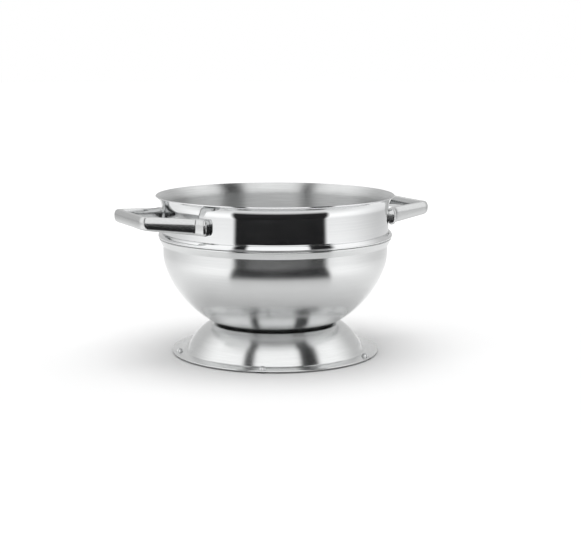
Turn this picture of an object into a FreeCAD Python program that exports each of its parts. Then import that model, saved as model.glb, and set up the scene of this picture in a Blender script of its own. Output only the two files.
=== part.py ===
import FreeCAD, Part
import math
import os
from FreeCAD import Vector

# Table-top food mill: a handled hopper nests in a footed catch bowl.
# Millimetres. Origin on the table under the centre, +Z up, the two handles along -X and +X.

# Turned arcs are made of conical bands that stay this close to the round
BAND_DEPTH = 0.3

# Feet: rubber pads held under the stand's flange by domed studs
FOOT_COUNT = 5
FOOT_CIRCLE_R = 98.4
FOOT_FIRST_ANGLE = 21.0
PAD_R = 5.6
PAD_HEIGHT = 1.4
STUD_DOME_R = 3.7
STUD_DOME_HEIGHT = 3.3
STUD_SHANK_R = 1.6
STUD_SHANK_CLEARANCE = 0.05
STUD_TAIL_GAP = 0.4

# Stand: one pressed ring with a flange below and a seat for the bowl above
STAND_SHEET = 1.2
STAND_FLANGE_R = 104.5
STAND_FOOT_R = 90.2
STAND_NECK_R = 68.2
STAND_HEIGHT = 35.0
STAND_BULGE = 1.0
STAND_CORNER_R = 2.6
STAND_SEAT_WIDTH = 8.0

# Catch bowl: a drawn bowl with a flattened, curled rim
BOWL_SHEET = 0.9
BOWL_WALL_R = 112.7
BOWL_SIDE_ARC_R = 104.8
BOWL_SHOULDER_ARC_R = 40.0
BOWL_SIDE_OVERREACH = 3.6
BOWL_HEIGHT = 99.5
BOWL_CURL_WIDTH = 5.5
BOWL_CURL_HEIGHT = 7.8
BOWL_CURL_GAP = 0.35

# Hopper pan: flared lip, straight wall, pressed-out bead, nested skirt, cone and neck
HOPPER_SHEET = 1.0
HOPPER_SEAT_GAP = 0.3
HOPPER_ABOVE_BOWL = 41.6
HOPPER_LIP_R = 119.8
HOPPER_LIP_ANGLE = 50.0
HOPPER_LIP_BEND_R = 5.0
HOPPER_WALL_R = 113.8
HOPPER_BEAD_R = 3.7
HOPPER_BEAD_HEIGHT = 5.5
HOPPER_BEAD_CORNER_R = 1.8
HOPPER_NEST_CLEARANCE = 0.8
HOPPER_SKIRT_DEPTH = 18.0
HOPPER_SKIRT_BEND_R = 14.0
HOPPER_NECK_R = 77.6
HOPPER_NECK_HEIGHT = 9.0
HOPPER_NECK_BEND_R = 8.0
HOPPER_DEPTH = 53.0
HOPPER_LEDGE_WIDTH = 7.6
HOPPER_LEDGE_BEND_R = 1.6

# Handles: U-shaped bars with widened pads welded to the hopper wall
HANDLE_BAR = 8.5
HANDLE_REACH = 158.0
HANDLE_HALF_GRIP = 40.0
HANDLE_CORNER_R = 9.0
HANDLE_BEND_ANGLE = 26.0
HANDLE_BEND_R = 7.0
HANDLE_PAD_ANGLE = 34.5
HANDLE_PAD_THICKNESS = 7.4
HANDLE_PAD_END_R = 3.0
HANDLE_PAD_DROP = 13.2
HANDLE_PAD_HEIGHT = 15.0
HANDLE_GRIP_DROP = 18.4
HANDLE_GRIP_HEIGHT = 12.3
HANDLE_EDGE_R = 2.4

# Milling disc and the wear button riveted in its middle
DISC_SHEET = 1.2
DISC_EDGE_CLEARANCE = 0.8
DISC_HOLE_R = 1.6
DISC_FIRST_RING_R = 27.0
DISC_RING_STEP = 12.0
DISC_RING_HOLES = (14, 20, 26, 32)
BUTTON_SHANK_R = 4.0
BUTTON_HEAD_R = 8.5
BUTTON_HEAD = 2.0
BUTTON_RIVET_R = 6.0
BUTTON_RIVET = 1.2

# Crossbar, the clips that hold its ends, and its bush
CROSSBAR_SHEET = 3.0
CROSSBAR_WIDTH = 18.0
CROSSBAR_END_CLEARANCE = 0.3
CROSSBAR_DROP = 12.6
CROSSBAR_FLAT = 84.0
CROSSBAR_RAMP = 10.0
CROSSBAR_BEND_R = 7.0
CROSSBAR_BUSH_R = 7.5
CROSSBAR_BUSH_FLANGE_R = 10.0
CROSSBAR_BUSH_FLANGE = 1.5
CROSSBAR_BUSH_TAIL = 5.0
CLIP_SHEET = 1.4
CLIP_REACH = 12.0
CLIP_SIDE = 2.0
CLIP_GAP = 0.3
CLIP_ABOVE_BEAD = 1.0

# Crank shaft, arm, nut and knob
SHAFT_SQUARE = 8.0
SHAFT_COLLAR_R = 9.5
SHAFT_COLLAR = 2.5
SHAFT_JOURNAL_R = 5.7
SHAFT_THREAD_R = 3.5
RUNNING_CLEARANCE = 0.05
ARM_RADIUS = 66.0
ARM_SHEET = 4.0
ARM_WIDTH = 18.0
ARM_TIP_WIDTH = 14.0
ARM_LIFT = 1.6
NUT_ACROSS = 13.0
NUT_HEIGHT = 5.5
NUT_DOME_R = 5.6
NUT_DOME_HEIGHT = 4.5
KNOB_HEIGHT = 20.0
KNOB_TOP_R = 10.5
KNOB_WAIST_R = 7.5
KNOB_BASE_R = 9.0
KNOB_SKIN_R = 3.0
KNOB_LIFT = 0.4
PIN_R = 3.0
PIN_HEAD_R = 5.6
PIN_HEAD = 2.0
PIN_TAIL_R = 4.6
PIN_TAIL = 1.1

# Mill blade, its hub and the spring above it
BLADE_SHEET = 1.6
BLADE_R = 68.0
BLADE_SWEEP = 165.0
BLADE_START_ANGLE = 100.0
BLADE_RISE = 19.0
BLADE_GAP = 0.5
HUB_R = 9.5
HUB_HEIGHT = 24.0
HUB_GAP = 0.3
WASHER_R = 9.5
WASHER = 1.2
SPRING_R = 7.9
SPRING_WIRE = 1.6
SPRING_TURNS = 3
SPRING_END_GAP = 0.3

# Radii that the levels below need
BOWL_FLOOR_R = BOWL_WALL_R + BOWL_SIDE_OVERREACH - BOWL_SIDE_ARC_R

# Levels, from the table up
FLANGE_TOP = PAD_HEIGHT + STAND_SHEET
BOWL_ARC_Z = STAND_HEIGHT + math.sqrt(BOWL_SIDE_ARC_R**2 - (STAND_NECK_R - BOWL_FLOOR_R)**2)
BOWL_BASE = BOWL_ARC_Z - BOWL_SIDE_ARC_R
BOWL_RIM = BOWL_BASE + BOWL_HEIGHT
SEAT = BOWL_RIM + HOPPER_SEAT_GAP
BEAD_TOP = SEAT + HOPPER_BEAD_HEIGHT
LEDGE = SEAT - HOPPER_DEPTH
DISC_BASE = LEDGE + HOPPER_SHEET
DISC_TOP = DISC_BASE + DISC_SHEET
BUTTON_TOP = DISC_TOP + BUTTON_HEAD
HUB_BASE = BUTTON_TOP + HUB_GAP
HUB_TOP = HUB_BASE + HUB_HEIGHT
CLIP_BASE = BEAD_TOP + CLIP_ABOVE_BEAD
BAR_END_BASE = CLIP_BASE + CLIP_SHEET + CLIP_GAP
BAR_BASE = BAR_END_BASE - CROSSBAR_DROP
BAR_TOP = BAR_BASE + CROSSBAR_SHEET
COLLAR_TOP = BAR_BASE - CROSSBAR_BUSH_TAIL - RUNNING_CLEARANCE
COLLAR_BASE = COLLAR_TOP - SHAFT_COLLAR
BAR_BUSH_TOP = BAR_TOP + CROSSBAR_BUSH_FLANGE
ARM_BASE = BAR_BUSH_TOP + ARM_LIFT
ARM_TOP = ARM_BASE + ARM_SHEET
KNOB_BASE = ARM_TOP + KNOB_LIFT

# Radii that follow from the ones above
HOPPER_INNER_R = HOPPER_WALL_R - HOPPER_SHEET
NECK_INNER_R = HOPPER_NECK_R - HOPPER_SHEET
HOPPER_LEDGE_R = HOPPER_NECK_R - HOPPER_LEDGE_WIDTH
CLIP_SLOT_R = HOPPER_INNER_R - CLIP_SHEET
CROSSBAR_END_R = CLIP_SLOT_R - CROSSBAR_END_CLEARANCE
DISC_R = NECK_INNER_R - DISC_EDGE_CLEARANCE

AXIS = Vector(0, 0, 1)
ORIGIN = Vector(0, 0, 0)


def polar(radius, degrees):
    """Point at a radius and angle, as two numbers."""
    angle = math.radians(degrees)
    return radius * math.cos(angle), radius * math.sin(angle)


def in_profile(x, y):
    """Place a two-number point in the XZ plane."""
    return Vector(x, 0, y)


def in_plan(x, y):
    """Place a two-number point in the XY plane."""
    return Vector(x, y, 0)


def corner_arc(before, corner, after, radius):
    """Start, middle and end of the arc that rounds one corner of a path."""
    back = (before - corner).normalize()
    ahead = (after - corner).normalize()
    half_angle = back.getAngle(ahead) / 2
    along = radius / math.tan(half_angle)
    middle_way = (back + ahead).normalize()
    to_middle = radius / math.sin(half_angle) - radius
    return corner + back * along, corner + middle_way * to_middle, corner + ahead * along


def path(corners, place, closed=False):
    """Wire of straight runs through (x, y, corner radius), with the corners rounded."""
    points = [place(x, y) for x, y, _ in corners]
    count = len(points)
    edges = []
    last = None
    first = None
    for i in range(count):
        radius = corners[i][2]
        if radius and (closed or 0 < i < count - 1):
            start, middle, end = corner_arc(points[i - 1], points[i], points[(i + 1) % count], radius)
        else:
            start = middle = end = points[i]
        if last is not None and last.distanceToPoint(start) > 1e-6:
            edges.append(Part.LineSegment(last, start).toShape())
        if first is None:
            first = start
        if start is not end:
            edges.append(Part.Arc(start, middle, end).toShape())
        last = end
    if closed and last.distanceToPoint(first) > 1e-6:
        edges.append(Part.LineSegment(last, first).toShape())
    return Part.Wire(edges)


def band_edges(radius, turn):
    """Evenly spaced shares of an arc of this turn, in degrees, where its conical bands meet."""
    widest = 2 * math.degrees(math.acos(1 - BAND_DEPTH / radius))
    bands = math.ceil(abs(turn) / widest)
    return [i / bands for i in range(bands + 1)]


def arc_points(centre, radius, start, end):
    """Points of an arc about centre, from one angle to another."""
    points = []
    for share in band_edges(radius, end - start):
        dx, dy = polar(radius, start + (end - start) * share)
        points.append((centre[0] + dx, centre[1] + dy, 0))
    return points


def banded(corners, closed=False):
    """The same corners, with each rounded one given as the points of its bands."""
    made = []
    for i, (x, y, radius) in enumerate(corners):
        if not radius or not (closed or 0 < i < len(corners) - 1):
            made.append((x, y, 0))
            continue
        before, after = corners[i - 1], corners[(i + 1) % len(corners)]
        start, middle, end = corner_arc(in_plan(*before[:2]), in_plan(x, y), in_plan(*after[:2]), radius)
        centre = middle + (middle - in_plan(x, y)).normalize() * radius
        first = math.degrees(math.atan2(start.y - centre.y, start.x - centre.x))
        turn = math.degrees(math.atan2(end.y - centre.y, end.x - centre.x)) - first
        turn = (turn + 180) % 360 - 180
        made += arc_points((centre.x, centre.y), radius, first, first + turn)
    return made


def sheet(wire, thickness):
    """Face between an open path and its parallel; a positive thickness lies left of the path."""
    return wire.makeOffset2D(thickness, 2, True, True, False)


def spin(face):
    """Solid of revolution about the vertical axis."""
    return face.revolve(ORIGIN, AXIS, 360)


def turned(corners):
    """Solid turned from a closed outline of (radius, height, corner radius)."""
    return spin(Part.Face(path(banded(corners, closed=True), in_profile, closed=True)))


def pressed(corners, thickness):
    """Turned sheet that follows an open outline of (radius, height, corner radius)."""
    return spin(sheet(path(banded(corners), in_profile), thickness))


def rod(radius, base, top):
    """Upright cylinder on the vertical axis."""
    return Part.makeCylinder(radius, top - base, Vector(0, 0, base))


def square_bar(width, base, top):
    """Upright square bar on the vertical axis."""
    return Part.makeBox(width, width, top - base, Vector(-width / 2, -width / 2, base))


def at_foot(index):
    """Centre of one foot, on the table."""
    x, y = polar(FOOT_CIRCLE_R, FOOT_FIRST_ANGLE + index * 360 / FOOT_COUNT)
    return Vector(x, y, 0)


def seat_angles():
    """Where the stand's seat starts and ends on the bowl's side arc, in degrees."""
    start = math.degrees(math.atan2(STAND_HEIGHT - BOWL_ARC_Z, STAND_NECK_R - BOWL_FLOOR_R))
    return start, start - math.degrees(STAND_SEAT_WIDTH / BOWL_SIDE_ARC_R)


def stand_ring():
    """Pressed ring: flange, bulged side and a seat that follows the bowl."""
    foot = Vector(STAND_FOOT_R, FLANGE_TOP, 0)
    run = Vector(STAND_NECK_R, STAND_HEIGHT, 0) - foot
    outward = Vector(run.y, -run.x, 0).normalize()
    side = [(STAND_FLANGE_R, FLANGE_TOP, 0), (STAND_FOOT_R, FLANGE_TOP, STAND_CORNER_R)]
    for share in (1 / 3, 2 / 3, 1):
        point = foot + run * share + outward * (4 * STAND_BULGE * share * (1 - share))
        side.append((point.x, point.y, 0))
    seat_x, seat_y = polar(BOWL_SIDE_ARC_R, seat_angles()[1])
    ring = pressed(side + [(BOWL_FLOOR_R + seat_x, BOWL_ARC_Z + seat_y, 0)], STAND_SHEET)
    shank = rod(STUD_SHANK_R + STUD_SHANK_CLEARANCE, 0, FLANGE_TOP + 1)
    for index in range(FOOT_COUNT):
        ring = ring.cut(shank.translated(at_foot(index)))
    return ring


def foot_pad():
    """Rubber disc under the flange, bored for the stud."""
    pad = turned([(0, 0, 0), (PAD_R, 0, 0.4), (PAD_R, PAD_HEIGHT, 0), (0, PAD_HEIGHT, 0)])
    return pad.cut(rod(STUD_SHANK_R + STUD_SHANK_CLEARANCE, -1, PAD_HEIGHT + 1))


def foot_stud():
    """Domed stud: a spherical cap on the flange, its shank ending inside the pad."""
    sphere_r = (STUD_DOME_R**2 + STUD_DOME_HEIGHT**2) / (2 * STUD_DOME_HEIGHT)
    centre = FLANGE_TOP + STUD_DOME_HEIGHT - sphere_r
    ball = Part.makeSphere(sphere_r, Vector(0, 0, centre))
    dome = ball.common(rod(2 * STUD_DOME_R, FLANGE_TOP, FLANGE_TOP + 2 * STUD_DOME_HEIGHT))
    return dome.fuse(rod(STUD_SHANK_R, STUD_TAIL_GAP, FLANGE_TOP)).removeSplitter()


def catch_bowl():
    """Drawn bowl: flat middle, side arc, shoulder arc, straight wall and outward curl."""
    wall_r = BOWL_WALL_R - BOWL_SHEET
    side_r = BOWL_SIDE_ARC_R - BOWL_SHEET
    shoulder_r = BOWL_SHOULDER_ARC_R - BOWL_SHEET
    side_centre = (BOWL_FLOOR_R, BOWL_ARC_Z)
    across = wall_r - shoulder_r - BOWL_FLOOR_R
    down = math.sqrt((side_r - shoulder_r)**2 - across**2)
    shoulder_centre = (wall_r - shoulder_r, BOWL_ARC_Z - down)
    meeting = -math.degrees(math.atan2(down, across))
    curl_r = BOWL_CURL_WIDTH / 2
    curl_out = wall_r + BOWL_CURL_WIDTH
    curl_base = BOWL_RIM - BOWL_CURL_HEIGHT
    seat_start, seat_end = seat_angles()
    return pressed(
        [(0, BOWL_BASE + BOWL_SHEET, 0)]
        + arc_points(side_centre, side_r, -90, seat_end)
        + arc_points(side_centre, side_r, seat_start, meeting)
        + arc_points(shoulder_centre, shoulder_r, meeting, 0)[1:]
        + [(wall_r, BOWL_RIM, curl_r * 0.999), (curl_out, BOWL_RIM, curl_r * 0.999),
           (curl_out, curl_base, curl_r * 0.85), (BOWL_WALL_R + BOWL_CURL_GAP, curl_base, 0)],
        -BOWL_SHEET)


def hopper_pan():
    """Drawn pan of one sheet, from the lip's edge down to the ledge that carries the disc."""
    lip_turn = math.radians(HOPPER_LIP_ANGLE)
    lip_rise = (HOPPER_LIP_R - HOPPER_WALL_R) / math.tan(lip_turn)
    lip_edge = SEAT + HOPPER_ABOVE_BOWL - HOPPER_SHEET * math.sin(lip_turn)
    skirt_r = BOWL_WALL_R - BOWL_SHEET - HOPPER_NEST_CLEARANCE
    bead_out = HOPPER_WALL_R + HOPPER_BEAD_R
    return pressed([
        (HOPPER_LIP_R, lip_edge, 0),
        (HOPPER_WALL_R, lip_edge - lip_rise, HOPPER_LIP_BEND_R),
        (HOPPER_WALL_R, BEAD_TOP, 0),
        (bead_out, BEAD_TOP, HOPPER_BEAD_R * 0.999),
        (bead_out, SEAT, HOPPER_BEAD_CORNER_R * 0.999),
        (skirt_r, SEAT, HOPPER_BEAD_CORNER_R),
        (skirt_r, SEAT - HOPPER_SKIRT_DEPTH, HOPPER_SKIRT_BEND_R),
        (HOPPER_NECK_R, LEDGE + HOPPER_NECK_HEIGHT, HOPPER_NECK_BEND_R),
        (HOPPER_NECK_R, LEDGE, HOPPER_LEDGE_BEND_R),
        (HOPPER_LEDGE_R, LEDGE, 0),
    ], -HOPPER_SHEET)


def handle_plan():
    """Closed plan outline of the handle on +X, mirrored about the X axis."""
    pad_out = HOPPER_WALL_R + HANDLE_PAD_THICKNESS
    buried = HOPPER_WALL_R - HANDLE_PAD_THICKNESS
    tip_in = polar(buried, -HANDLE_PAD_ANGLE)
    tip_out = polar(pad_out, -HANDLE_PAD_ANGLE)
    bend = polar(HOPPER_WALL_R + HANDLE_BAR, -HANDLE_BEND_ANGLE)
    grip = (HANDLE_REACH, -HANDLE_HALF_GRIP)
    run = Vector(grip[0] - bend[0], grip[1] - bend[1], 0).normalize()
    inward = Vector(-run.y, run.x, 0)
    root = Vector(bend[0], bend[1], 0) + inward * HANDLE_BAR - run * HANDLE_BAR
    inner_x = HANDLE_REACH - HANDLE_BAR
    inner_y = root.y + run.y * (inner_x - root.x) / run.x
    half = [
        (tip_in[0], tip_in[1], 0),
        (tip_out[0], tip_out[1], HANDLE_PAD_END_R),
        (bend[0], bend[1], HANDLE_BEND_R),
        (grip[0], grip[1], HANDLE_CORNER_R),
    ]
    inner = [(root.x, root.y, 0), (inner_x, inner_y, HANDLE_CORNER_R / 2)]
    other = [(x, -y, radius) for x, y, radius in reversed(half)]
    inner_other = [(x, -y, radius) for x, y, radius in inner]
    return half + other + inner_other + inner[::-1]


def handle(turn):
    """U-shaped bar whose depth falls from its pads to its grip, with rounded edges."""
    outline = Part.Face(path(handle_plan(), in_plan, closed=True))
    bar = outline.extrude(AXIS * HOPPER_ABOVE_BOWL).translated(Vector(0, 0, SEAT))
    pad_base = SEAT + HANDLE_PAD_DROP
    grip_base = SEAT + HANDLE_GRIP_DROP
    base_slope = (grip_base - pad_base) / (HANDLE_REACH - HOPPER_WALL_R)
    top_slope = base_slope + (HANDLE_GRIP_HEIGHT - HANDLE_PAD_HEIGHT) / (HANDLE_REACH - HOPPER_WALL_R)
    start = -HOPPER_WALL_R
    side = path([
        (0, pad_base + base_slope * start, 0), (HANDLE_REACH + 1, grip_base + base_slope, 0),
        (HANDLE_REACH + 1, grip_base + HANDLE_GRIP_HEIGHT + top_slope, 0),
        (0, pad_base + HANDLE_PAD_HEIGHT + top_slope * start, 0),
    ], in_profile, closed=True)
    slab = Part.Face(side).extrude(Vector(0, 4 * HANDLE_HALF_GRIP, 0))
    bar = bar.common(slab.translated(Vector(0, -2 * HANDLE_HALF_GRIP, 0)))
    bar = bar.makeFillet(HANDLE_EDGE_R, [edge for edge in bar.Edges if is_rim(edge)])
    bar = bar.cut(rod(HOPPER_WALL_R, 0, SEAT + 2 * HOPPER_ABOVE_BOWL))
    return bar.rotated(ORIGIN, AXIS, turn)


def is_rim(edge):
    """Whether an edge belongs to the bar's top or underside."""
    return edge.BoundBox.ZLength < HANDLE_GRIP_HEIGHT / 2


def milling_disc():
    """Round plate with rings of round holes."""
    disc = rod(DISC_R, DISC_BASE, DISC_TOP).cut(rod(BUTTON_SHANK_R, DISC_BASE - 1, DISC_TOP + 1))
    drill = rod(DISC_HOLE_R, DISC_BASE - 1, DISC_TOP + 1)
    drills = []
    for ring, count in enumerate(DISC_RING_HOLES):
        radius = DISC_FIRST_RING_R + ring * DISC_RING_STEP
        for index in range(count):
            x, y = polar(radius, (index + ring / 2) * 360 / count)
            drills.append(drill.translated(Vector(x, y, 0)))
    return disc.cut(Part.makeCompound(drills))


def disc_button():
    """Rivet through the disc whose head carries the thrust of the shaft's end."""
    rivet = DISC_BASE - BUTTON_RIVET
    return turned([
        (0, rivet, 0), (BUTTON_RIVET_R, rivet, 0.4), (BUTTON_RIVET_R, DISC_BASE, 0),
        (BUTTON_SHANK_R, DISC_BASE, 0), (BUTTON_SHANK_R, DISC_TOP, 0), (BUTTON_HEAD_R, DISC_TOP, 0),
        (BUTTON_HEAD_R, BUTTON_TOP, 0.8), (0, BUTTON_TOP, 0),
    ])


def crossbar():
    """Strip with a dropped middle, rounded ends and a hole for its bush."""
    end_top = BAR_END_BASE + CROSSBAR_SHEET
    ramp_end = CROSSBAR_FLAT + CROSSBAR_RAMP
    far = CROSSBAR_END_R + CROSSBAR_SHEET
    half = [(far, end_top, 0), (ramp_end, end_top, CROSSBAR_BEND_R), (CROSSBAR_FLAT, BAR_TOP, CROSSBAR_BEND_R)]
    other = [(-x, z, radius) for x, z, radius in reversed(half)]
    strip = sheet(path(half + other, in_profile), CROSSBAR_SHEET)
    strip = strip.extrude(Vector(0, CROSSBAR_WIDTH, 0)).translated(Vector(0, -CROSSBAR_WIDTH / 2, 0))
    strip = strip.common(rod(CROSSBAR_END_R, 0, 2 * BAR_TOP))
    return strip.cut(rod(CROSSBAR_BUSH_R, 0, 2 * BAR_TOP))


def crossbar_bush():
    """Flanged bush that carries the crank's journal."""
    bore = SHAFT_JOURNAL_R + RUNNING_CLEARANCE
    tail = BAR_BASE - CROSSBAR_BUSH_TAIL
    return turned([
        (bore, tail, 0), (CROSSBAR_BUSH_R, tail, 0.4), (CROSSBAR_BUSH_R, BAR_TOP, 0),
        (CROSSBAR_BUSH_FLANGE_R, BAR_TOP, 0), (CROSSBAR_BUSH_FLANGE_R, BAR_BUSH_TOP, 0.4),
        (bore, BAR_BUSH_TOP, 0),
    ])


def clip(turn):
    """Folded clip on the hopper wall; its slot is open to the middle and on the side the bar leaves by."""
    inner_x = HOPPER_INNER_R - CLIP_REACH
    half_slot = CROSSBAR_WIDTH / 2 + CLIP_GAP
    slot_base = CLIP_BASE + CLIP_SHEET
    slot_height = CROSSBAR_SHEET + 2 * CLIP_GAP
    height = slot_height + 2 * CLIP_SHEET
    width = 2 * half_slot + CLIP_SIDE
    block = Part.makeBox(2 * CLIP_REACH, width, height, Vector(inner_x, -half_slot - CLIP_SIDE, CLIP_BASE))
    block = block.common(rod(HOPPER_INNER_R, CLIP_BASE, CLIP_BASE + height))
    slot = Part.makeBox(2 * CLIP_REACH, width, slot_height, Vector(inner_x - 1, -half_slot, slot_base))
    slot = slot.common(rod(CLIP_SLOT_R, slot_base, slot_base + slot_height))
    return block.cut(slot).rotated(ORIGIN, AXIS, turn)


def crank_shaft():
    """One turned shaft: square, collar, journal, square seat and threaded end."""
    journal_top = ARM_BASE - RUNNING_CLEARANCE
    thread_top = ARM_TOP + NUT_HEIGHT
    shaft = square_bar(SHAFT_SQUARE, HUB_BASE, COLLAR_BASE)
    shaft = shaft.fuse(rod(SHAFT_COLLAR_R, COLLAR_BASE, COLLAR_TOP))
    shaft = shaft.fuse(rod(SHAFT_JOURNAL_R, COLLAR_TOP, journal_top))
    shaft = shaft.fuse(square_bar(SHAFT_SQUARE, journal_top, ARM_TOP - RUNNING_CLEARANCE))
    shaft = shaft.fuse(rod(SHAFT_THREAD_R, ARM_TOP - 2 * RUNNING_CLEARANCE, thread_top))
    return shaft.removeSplitter()


def crank_arm():
    """Flat arm along -Y, tapering to its rounded tip."""
    hub_r = ARM_WIDTH / 2
    tip_r = ARM_TIP_WIDTH / 2
    lean = math.degrees(math.asin((hub_r - tip_r) / ARM_RADIUS))
    side_x, side_y = polar(1, lean)
    corners = [
        (hub_r * side_x, -hub_r * side_y, 0), (tip_r * side_x, -ARM_RADIUS - tip_r * side_y, 0),
        (-tip_r * side_x, -ARM_RADIUS - tip_r * side_y, 0), (-hub_r * side_x, -hub_r * side_y, 0),
    ]
    web = Part.Face(path(corners, in_plan, closed=True)).extrude(AXIS * ARM_SHEET)
    arm = web.translated(Vector(0, 0, ARM_BASE)).fuse(rod(hub_r, ARM_BASE, ARM_TOP))
    arm = arm.fuse(rod(tip_r, ARM_BASE, ARM_TOP).translated(Vector(0, -ARM_RADIUS, 0))).removeSplitter()
    arm = arm.cut(square_bar(SHAFT_SQUARE, ARM_BASE - 1, ARM_TOP + 1))
    return arm.cut(rod(PIN_R, ARM_BASE - 1, ARM_TOP + 1).translated(Vector(0, -ARM_RADIUS, 0)))


def crank_nut():
    """Hexagonal cap nut with a domed top."""
    corners = [polar(NUT_ACROSS / 2 / math.cos(math.radians(30)), 60 * index) for index in range(6)]
    hexagon = Part.Face(path([(x, y, 0) for x, y in corners], in_plan, closed=True))
    nut = hexagon.extrude(AXIS * NUT_HEIGHT).translated(Vector(0, 0, ARM_TOP))
    base = ARM_TOP + NUT_HEIGHT
    sphere_r = (NUT_DOME_R**2 + NUT_DOME_HEIGHT**2) / (2 * NUT_DOME_HEIGHT)
    ball = Part.makeSphere(sphere_r, Vector(0, 0, base + NUT_DOME_HEIGHT - sphere_r))
    nut = nut.fuse(ball.common(rod(2 * NUT_DOME_R, base, base + 2 * NUT_DOME_HEIGHT)))
    return nut.cut(rod(SHAFT_THREAD_R, ARM_TOP - 1, base)).removeSplitter()


def crank_knob():
    """Turned knob with a waist and a recess for its pin's head."""
    top = KNOB_BASE + KNOB_HEIGHT
    waist = KNOB_BASE + KNOB_HEIGHT * 0.4
    bore = PIN_R + RUNNING_CLEARANCE
    knob = turned([
        (bore, KNOB_BASE, 0), (KNOB_BASE_R, KNOB_BASE, KNOB_SKIN_R / 2), (KNOB_WAIST_R, waist, 3 * KNOB_SKIN_R),
        (KNOB_TOP_R, top - KNOB_SKIN_R, KNOB_SKIN_R / 2), (KNOB_TOP_R, top, KNOB_SKIN_R / 2), (bore, top, 0),
    ])
    recess = rod(PIN_HEAD_R + KNOB_LIFT, top - PIN_HEAD - KNOB_LIFT, top + 1)
    return knob.cut(recess).translated(Vector(0, -ARM_RADIUS, 0))


def knob_pin():
    """Rivet that the knob turns on, closed under the arm."""
    top = KNOB_BASE + KNOB_HEIGHT
    pin = turned([
        (0, ARM_BASE - PIN_TAIL, 0), (PIN_TAIL_R, ARM_BASE - PIN_TAIL, PIN_TAIL / 2), (PIN_TAIL_R, ARM_BASE, 0),
        (PIN_R, ARM_BASE, 0), (PIN_R, top - PIN_HEAD, 0), (PIN_HEAD_R, top - PIN_HEAD, 0),
        (PIN_HEAD_R, top, PIN_HEAD / 2), (0, top, 0),
    ])
    return pin.translated(Vector(0, -ARM_RADIUS, 0))


def mill_blade():
    """Sloped blade: a radial strip swept up a helix, so that its low edge clears the disc."""
    pitch = BLADE_RISE * 360 / BLADE_SWEEP
    low = DISC_TOP + BLADE_GAP
    corners = [
        (HUB_R, low, 0), (BLADE_R, low, 0), (BLADE_R, low + BLADE_SHEET, 0), (HUB_R, low + BLADE_SHEET, 0),
    ]
    strip = path(corners, in_profile, closed=True)
    spine = Part.makeHelix(pitch, BLADE_RISE, BLADE_R).translated(Vector(0, 0, low))
    blade = Part.Wire(spine.Edges).makePipeShell([strip], True, True)
    return blade.rotated(ORIGIN, AXIS, BLADE_START_ANGLE)


def blade_hub():
    """Round hub whose square bore slides on the shaft."""
    hub = turned([
        (0, HUB_BASE, 0), (HUB_R, HUB_BASE, 0), (HUB_R, HUB_TOP, 0.8), (0, HUB_TOP, 0),
    ])
    return hub.cut(square_bar(SHAFT_SQUARE + 2 * RUNNING_CLEARANCE, HUB_BASE - 1, HUB_TOP + 1))


def spring_washer():
    """Washer between the hub and the spring, with a square hole."""
    plate = rod(WASHER_R, HUB_TOP, HUB_TOP + WASHER)
    return plate.cut(square_bar(SHAFT_SQUARE + 2 * RUNNING_CLEARANCE, HUB_TOP - 1, HUB_TOP + WASHER + 1))


def blade_spring():
    """Flat-wire compression spring between the washer and the shaft's collar."""
    base = HUB_TOP + WASHER + SPRING_END_GAP
    rise = COLLAR_BASE - SPRING_END_GAP - SPRING_WIRE - base
    inner = SPRING_R - SPRING_WIRE / 2
    outer = SPRING_R + SPRING_WIRE / 2
    corners = [
        (inner, base, 0), (outer, base, 0), (outer, base + SPRING_WIRE, 0), (inner, base + SPRING_WIRE, 0),
    ]
    section = path(corners, in_profile, closed=True)
    spine = Part.makeHelix(rise / SPRING_TURNS, rise, SPRING_R).translated(Vector(0, 0, base))
    return Part.Wire(spine.Edges).makePipeShell([section], True, True)


def pieces():
    """Every sub-part by its node name."""
    made = {
        "stand_ring": stand_ring(),
        "catch_bowl": catch_bowl(),
        "hopper_pan": hopper_pan(),
        "handle_left": handle(180),
        "handle_right": handle(0),
        "clip_left": clip(180),
        "clip_right": clip(0),
        "milling_disc": milling_disc(),
        "disc_button": disc_button(),
        "crossbar": crossbar(),
        "crossbar_bush": crossbar_bush(),
        "crank_shaft": crank_shaft(),
        "crank_arm": crank_arm(),
        "crank_nut": crank_nut(),
        "crank_knob": crank_knob(),
        "knob_pin": knob_pin(),
        "mill_blade": mill_blade(),
        "blade_hub": blade_hub(),
        "spring_washer": spring_washer(),
        "blade_spring": blade_spring(),
    }
    for index in range(FOOT_COUNT):
        made[f"foot_stud_{index + 1}"] = foot_stud().translated(at_foot(index))
        made[f"foot_pad_{index + 1}"] = foot_pad().translated(at_foot(index))
    return made


def main():
    """Write one STEP file per sub-part."""
    os.makedirs("parts", exist_ok=True)
    for name, shape in pieces().items():
        shape.exportStep(f"parts/{name}.step")


main()
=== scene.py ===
import math

import bmesh
import bpy
import numpy as np
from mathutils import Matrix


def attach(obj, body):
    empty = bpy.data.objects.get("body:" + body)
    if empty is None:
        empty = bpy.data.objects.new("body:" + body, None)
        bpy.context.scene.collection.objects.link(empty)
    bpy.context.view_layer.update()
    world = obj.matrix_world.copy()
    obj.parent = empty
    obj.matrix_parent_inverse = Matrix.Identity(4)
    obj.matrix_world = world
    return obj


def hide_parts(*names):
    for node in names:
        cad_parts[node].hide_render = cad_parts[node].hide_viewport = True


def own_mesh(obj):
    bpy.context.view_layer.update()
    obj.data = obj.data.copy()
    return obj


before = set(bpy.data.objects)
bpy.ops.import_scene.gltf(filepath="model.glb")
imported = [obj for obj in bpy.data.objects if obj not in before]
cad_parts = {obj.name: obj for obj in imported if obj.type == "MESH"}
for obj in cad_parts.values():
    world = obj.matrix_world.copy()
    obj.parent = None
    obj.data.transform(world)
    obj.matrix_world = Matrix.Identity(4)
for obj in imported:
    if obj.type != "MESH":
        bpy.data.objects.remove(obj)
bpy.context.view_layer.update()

MM = 0.001

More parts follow.
